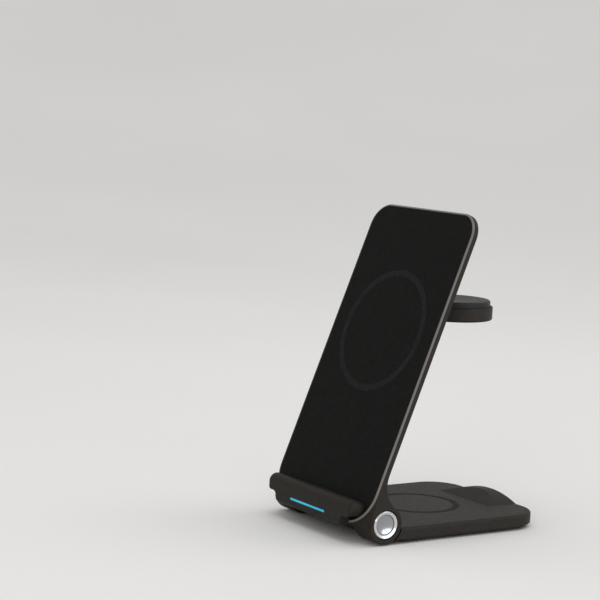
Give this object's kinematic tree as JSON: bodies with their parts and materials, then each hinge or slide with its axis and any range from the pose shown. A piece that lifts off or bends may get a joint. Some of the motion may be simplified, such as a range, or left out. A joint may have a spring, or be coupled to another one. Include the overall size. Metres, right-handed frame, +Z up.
{
  "type": "foldable charger",
  "caption": "Folding charging stand: leaning phone panel with a lit ledge and flared hinge knuckles, flat base with an earbuds pad and power inlet, round folding watch arm.",
  "frame": {"origin": "middle of the bounding box in plan, on the plane the feet stand on", "axes": "+Z up, +Y towards the rear with the power inlet, +X to the right seen from the front"},
  "size_m": [0.064, 0.0882, 0.1197],
  "materials": {
    "shell": "fine matte moulding",
    "cover": "matte moulding",
    "panel": "soft-touch matte",
    "soft_inlay": "silicone",
    "foot_rubber": "silicone",
    "puck": "smooth satin",
    "silver": "turned and polished",
    "steel": "ground",
    "bush": "plain",
    "copper": "lacquered copper wire",
    "ferrite": "sintered sheet",
    "board": "solder resist",
    "light": "frosted and lit cyan"
  },
  "bodies": {
    "base": {"base_top_shell": "shell", "base_bottom_cover": "cover", "base_feet": "foot_rubber", "base_screws": "steel", "base_circuit_board": "board", "usb_c_socket": "steel", "earbuds_coil": "copper", "earbuds_coil_ferrite": "ferrite", "earbuds_pad": "soft_inlay", "hinge_bushes": "bush"},
    "stand": {"stand_rear_housing": "shell", "stand_front_plate": "panel", "phone_pad_ring": "soft_inlay", "phone_coil_lower": "copper", "phone_coil_upper": "copper", "phone_coil_ferrite": "ferrite", "stand_circuit_board": "board", "stand_board_screws": "steel", "hinge_shaft": "steel", "watch_hinge_pin": "steel", "hinge_cap_right": "silver", "hinge_cap_left": "silver", "phone_ledge": "shell", "ledge_pad": "soft_inlay", "led_light_guide": "light", "led_board": "board"},
    "watch_arm": {"watch_arm_lower_shell": "shell", "watch_arm_top_cover": "shell", "watch_puck": "puck", "watch_coil": "copper", "watch_coil_ferrite": "ferrite", "watch_arm_screws": "steel"}
  },
  "joints": [
    {"name": "stand_fold", "type": "hinge", "parent": "base", "child": "stand", "pos_m": [0, -0.03075, 0.00764], "axis": [-1, 0, 0], "range_deg": [0, 68.5]},
    {"name": "watch_arm_fold", "type": "hinge", "parent": "stand", "child": "watch_arm", "pos_m": [0, 0.00073, 0.08047], "axis": [1, 0, 0], "range_deg": [0, 68.5]}
  ]
}
